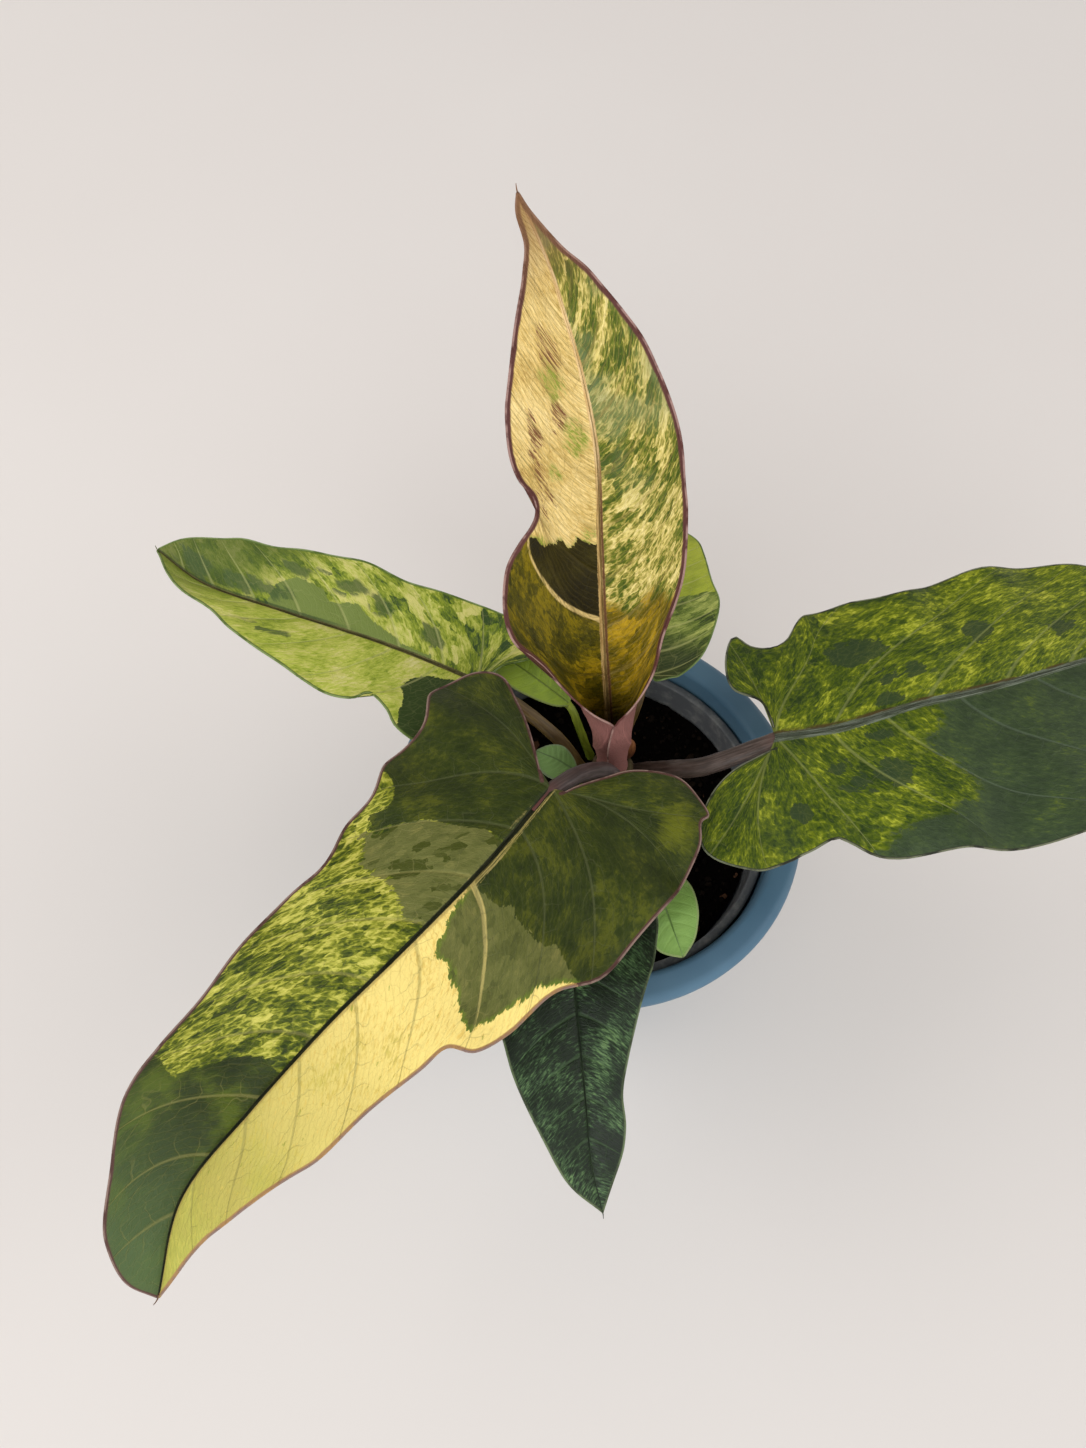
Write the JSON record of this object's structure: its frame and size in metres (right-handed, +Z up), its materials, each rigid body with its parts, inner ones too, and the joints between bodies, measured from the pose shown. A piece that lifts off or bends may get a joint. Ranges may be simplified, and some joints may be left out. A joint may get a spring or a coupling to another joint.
{
  "type": "potted alocasia",
  "caption": "Young variegated arrow-leaved house plant with marbled green, yellow and cream leaves, in a nursery pot that stands in a blue plastic outer pot.",
  "frame": {"origin": "middle of the outer pot's flat underside", "axes": "+Z up, -Y towards the side from which the plant is seen, +X to that viewer's right"},
  "size_m": [0.376, 0.2474, 0.279],
  "materials": {
    "pot_plastic": "soft matte steel blue",
    "nursery_plastic": "matte charcoal",
    "soil_mix": "loose dark potting bark and peat",
    "stem_bark": "rough",
    "bud_skin": "satin",
    "stalk_mauve": "satin",
    "stalk_brown": "satin",
    "stalk_green": "satin",
    "leaf_marbled": "satin, marbled green and yellow",
    "leaf_cream": "satin, cream with green",
    "leaf_dark": "satin dark green",
    "leaf_fresh": "glossy light green",
    "leaf_mint": "satin mint green"
  },
  "bodies": {
    "root": {"pot": "pot_plastic", "nursery_pot": "nursery_plastic", "soil": "soil_mix", "stem": "stem_bark", "bud": "bud_skin", "stalk_front": "stalk_mauve", "stalk_top": "stalk_mauve", "stalk_right": "stalk_brown", "stalk_left": "stalk_brown", "stalk_back": "stalk_brown", "stalk_low": "stalk_brown", "stalk_bright": "stalk_green", "stalk_light": "stalk_green", "stalk_mint": "stalk_green", "blade_front": "leaf_marbled", "blade_right": "leaf_marbled", "blade_left": "leaf_marbled", "blade_back": "leaf_marbled", "blade_top": "leaf_cream", "blade_low": "leaf_dark", "blade_bright": "leaf_fresh", "blade_light": "leaf_fresh", "blade_mint": "leaf_mint"}
  },
  "joints": []
}
